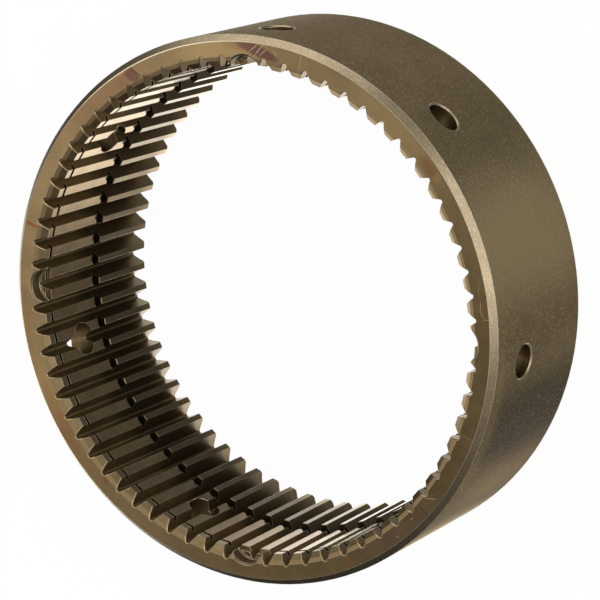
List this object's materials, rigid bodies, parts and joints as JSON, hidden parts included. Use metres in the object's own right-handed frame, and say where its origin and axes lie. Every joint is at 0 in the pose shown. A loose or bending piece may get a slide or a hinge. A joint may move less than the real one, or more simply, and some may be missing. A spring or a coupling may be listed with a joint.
{
  "type": "internal ring gear",
  "caption": "Internal ring gear: straight teeth right through, cut back as a splined clutch seat with ring grooves at the front, radial oil holes and half-round locking notches.",
  "frame": {"origin": "centre of the rear end face, on the gear's axis", "axes": "+Z along the gear's axis, from the rear end face to the splined front face; +X through the middle of one half-round notch; +Y through another notch, in line with the first of the radial oil holes"},
  "size_m": [0.272, 0.272, 0.0925],
  "materials": {
    "gear_steel": "turned, drilled and gear-shaped alloy steel with a thin brown-grey oxide, not plated or painted"
  },
  "bodies": {
    "root": {"ring_gear": "gear_steel"}
  },
  "joints": []
}
